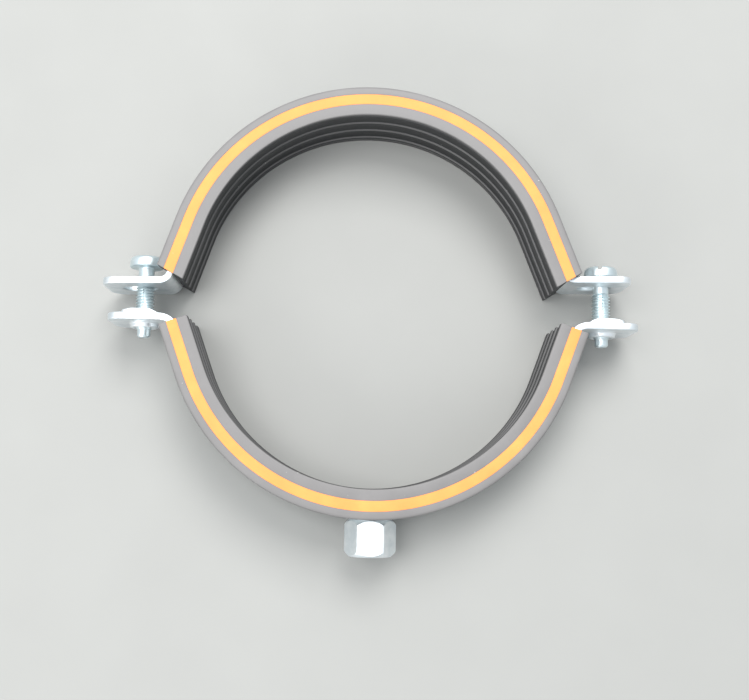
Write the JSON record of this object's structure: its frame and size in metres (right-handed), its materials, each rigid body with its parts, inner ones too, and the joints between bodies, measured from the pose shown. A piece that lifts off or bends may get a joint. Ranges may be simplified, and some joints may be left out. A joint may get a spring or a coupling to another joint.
{
  "type": "lined pipe clamp",
  "caption": "Round two-part steel pipe clamp with ribbed rubber liner, a coloured edge stripe, closing screws through flat ears and a threaded hanger nut.",
  "frame": {"origin": "centre of the lower half's ribbed bore, mid-width of the clamp", "axes": "+X across the ears towards the right screw, +Y from the hanger nut towards the upper half, +Z along the pipe; the clamp lies flat on its -Z side"},
  "size_m": [0.1718, 0.1502, 0.025],
  "materials": {
    "zinc_steel": "bright zinc plate, satin",
    "zinc_screw": "blue-passivated zinc plate",
    "liner_rubber": "matte extruded rubber",
    "stripe_rubber": "matte coloured rubber"
  },
  "bodies": {
    "lower_half": {"lower_band": "zinc_steel", "lower_liner": "liner_rubber", "lower_stripe": "stripe_rubber", "left_thread_plate": "zinc_steel", "right_thread_plate": "zinc_steel", "hanger_nut": "zinc_steel"},
    "upper_half": {"upper_band": "zinc_steel", "upper_liner": "liner_rubber", "upper_stripe": "stripe_rubber"},
    "left_screw": {"left_screw": "zinc_screw"},
    "right_screw": {"right_screw": "zinc_screw"}
  },
  "joints": [
    {"name": "closing_slide", "type": "slide", "parent": "lower_half", "child": "upper_half", "axis": [0, -1, 0], "range_m": [-0.004, 0.0066]},
    {"name": "left_screw_turn", "type": "hinge", "parent": "upper_half", "child": "left_screw", "pos_m": [-0.0745, 0.0135, 0], "axis": [0, -1, 0], "continuous": true},
    {"name": "right_screw_turn", "type": "hinge", "parent": "upper_half", "child": "right_screw", "pos_m": [0.0745, 0.0135, 0], "axis": [0, -1, 0], "continuous": true}
  ],
  "couplings": [
    {"joint": "left_screw_turn", "follows": "closing_slide", "rad_per_m": 6283.2},
    {"joint": "right_screw_turn", "follows": "closing_slide", "rad_per_m": 6283.2}
  ]
}
